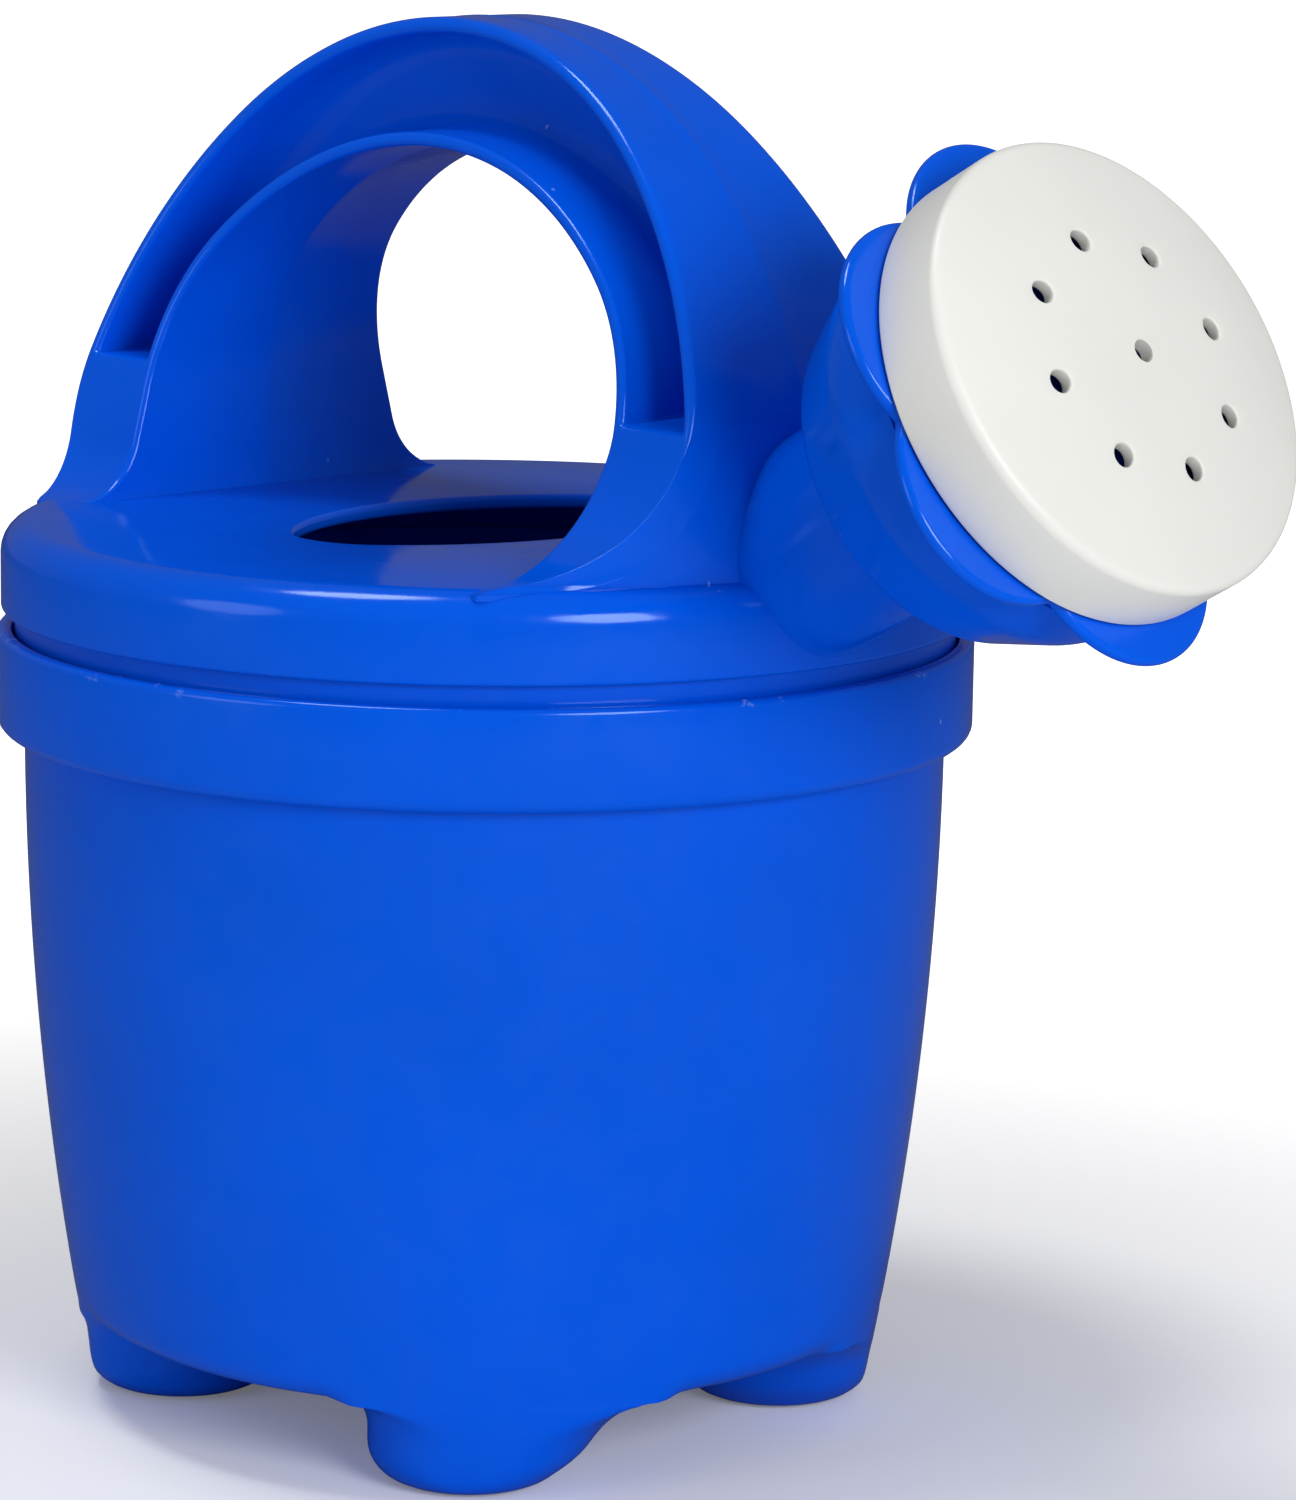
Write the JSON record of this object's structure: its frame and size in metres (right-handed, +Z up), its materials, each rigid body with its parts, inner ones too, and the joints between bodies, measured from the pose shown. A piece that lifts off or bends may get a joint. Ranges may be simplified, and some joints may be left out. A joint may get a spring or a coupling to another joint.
{
  "type": "watering can",
  "caption": "small plastic watering can with a press-on lid, arch handle, short spout and a push-on rose with a petal flange and a perforated face",
  "frame": {"origin": "on the ground, on the vertical axis of the round tub, level with the undersides of its four feet", "axes": "+Z up along the tub's axis, +X horizontally towards the spout, +Y to the left of the spout, seen from above with the spout pointing forwards"},
  "size_m": [0.1794, 0.124, 0.177],
  "materials": {
    "tub_plastic": "injection moulded, glossy royal blue",
    "lid_plastic": "injection moulded, glossy royal blue",
    "cup_plastic": "injection moulded, glossy royal blue",
    "face_plastic": "injection moulded, satin white"
  },
  "bodies": {
    "tub": {"bucket": "tub_plastic"},
    "lid": {"lid": "lid_plastic"},
    "rose_cup": {"rose_cup": "cup_plastic"},
    "rose_face": {"rose_face": "face_plastic"}
  },
  "joints": [
    {"name": "lid_lift", "type": "slide", "parent": "tub", "child": "lid", "axis": [0, 0, 1], "range_m": [0, 0.06]},
    {"name": "cup_pull", "type": "slide", "parent": "lid", "child": "rose_cup", "axis": [0.8704, 0, 0.4924], "range_m": [0, 0.03]},
    {"name": "face_pull", "type": "slide", "parent": "rose_cup", "child": "rose_face", "axis": [0.8704, 0, 0.4924], "range_m": [0, 0.025]}
  ]
}
